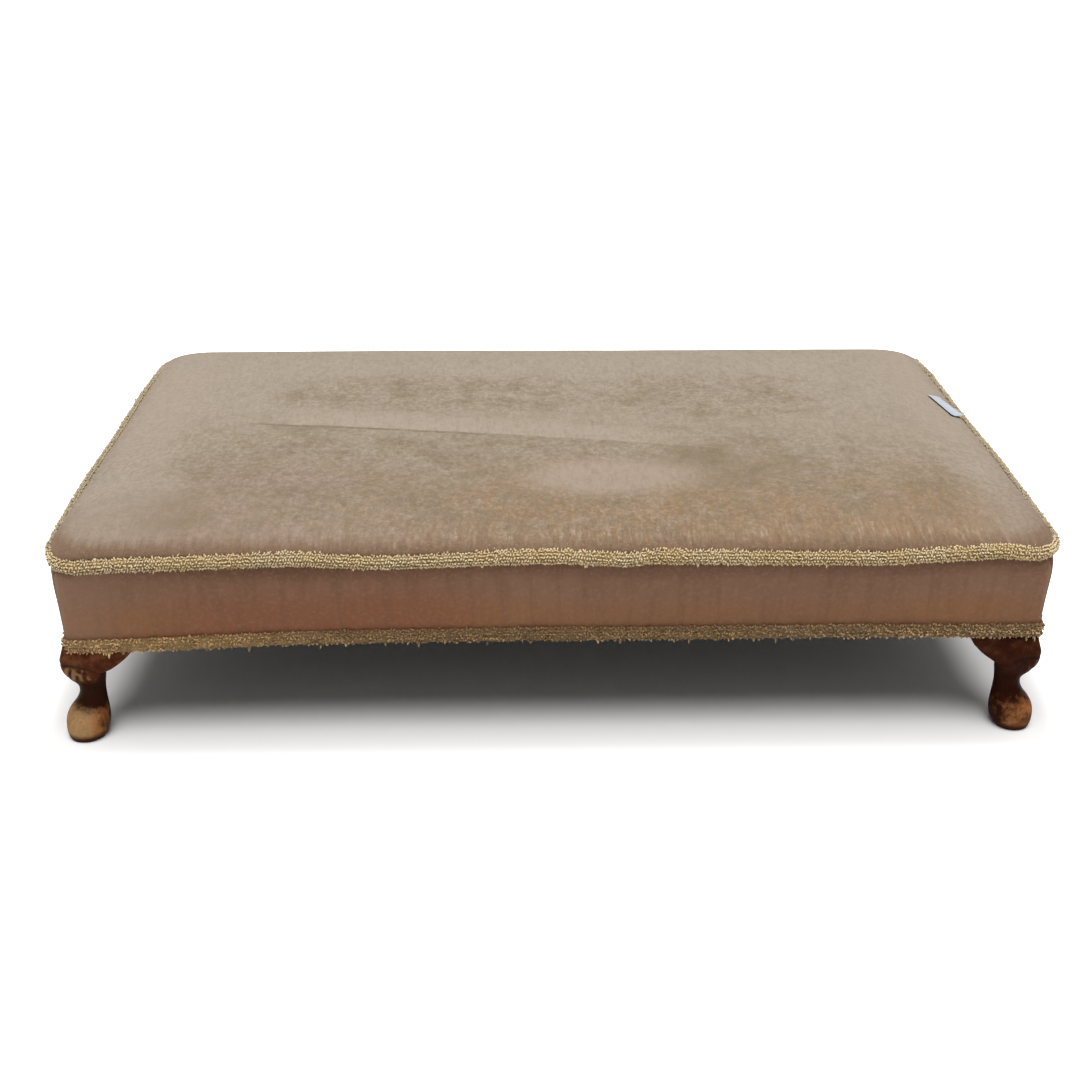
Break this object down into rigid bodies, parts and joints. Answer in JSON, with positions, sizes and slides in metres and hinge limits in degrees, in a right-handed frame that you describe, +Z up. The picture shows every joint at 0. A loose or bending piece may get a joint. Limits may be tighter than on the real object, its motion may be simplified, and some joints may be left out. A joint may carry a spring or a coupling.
{
  "type": "upholstered footstool",
  "caption": "Long low upholstered footstool with a crowned velvet top, a velvet border between two ruche trims, and short cabriole legs.",
  "frame": {"origin": "on the floor under the middle of the stool", "axes": "+X along the length towards the stool's right, +Y from the front to the back, +Z up"},
  "size_m": [1, 0.6, 0.227],
  "materials": {
    "rail_wood": "raw sawn beech",
    "leg_wood": "dark mahogany polish, worn to the wood on knees and feet",
    "block_wood": "raw beech",
    "webbing": "brown jute webbing",
    "black_iron": "blued iron tacks and pins",
    "screw_steel": "plain steel, dull",
    "brass_pins": "dull brassed pins",
    "spring_steel": "coppered steel wire",
    "twine": "laid hemp twine",
    "hessian": "coarse jute hessian",
    "fibre": "ginger coir fibre",
    "horsehair": "curled horsehair",
    "calico": "unbleached calico",
    "wadding": "cotton wadding",
    "cover_velvet": "faded pinkish taupe velvet, worn pile",
    "border_velvet": "rose brown velvet, less faded",
    "ruche": "old gold looped ruche",
    "black_cloth": "black cotton bottoming cloth",
    "ticket_paper": "blank bluish white paper, matt"
  },
  "bodies": {
    "root": {"back_border": "border_velvet", "back_left_back_ear": "leg_wood", "back_left_corner_block": "block_wood", "back_left_leg": "leg_wood", "back_left_side_ear": "leg_wood", "back_rail": "rail_wood", "back_right_back_ear": "leg_wood", "back_right_corner_block": "block_wood", "back_right_leg": "leg_wood", "back_right_side_ear": "leg_wood", "back_spring_row": "spring_steel", "calico_cover": "calico", "corner_block_screws": "screw_steel", "corner_dowels": "block_wood", "dust_cover": "black_cloth", "dust_cover_tacks": "black_iron", "ear_pins": "black_iron", "edge_roll": "fibre", "first_stuffing": "fibre", "front_border": "border_velvet", "front_left_corner_block": "block_wood", "front_left_front_ear": "leg_wood", "front_left_leg": "leg_wood", "front_left_side_ear": "leg_wood", "front_rail": "rail_wood", "front_right_corner_block": "block_wood", "front_right_front_ear": "leg_wood", "front_right_leg": "leg_wood", "front_right_side_ear": "leg_wood", "front_spring_row": "spring_steel", "gimp_pins": "brass_pins", "left_border": "border_velvet", "left_rail": "rail_wood", "leg_pegs": "block_wood", "lower_trim": "ruche", "middle_spring_row": "spring_steel", "paper_ticket": "ticket_paper", "right_border": "border_velvet", "right_rail": "rail_wood", "scrim": "hessian", "side_wadding": "wadding", "spring_hessian": "hessian", "spring_twine": "twine", "top_cord": "ruche", "top_cover": "cover_velvet", "top_stuffing": "horsehair", "wadding": "wadding", "webbing_cross_1": "webbing", "webbing_cross_2": "webbing", "webbing_cross_3": "webbing", "webbing_cross_4": "webbing", "webbing_cross_5": "webbing", "webbing_cross_6": "webbing", "webbing_cross_7": "webbing", "webbing_long_1": "webbing", "webbing_long_2": "webbing", "webbing_long_3": "webbing", "webbing_long_4": "webbing", "webbing_long_5": "webbing", "webbing_tacks": "black_iron"}
  },
  "joints": []
}
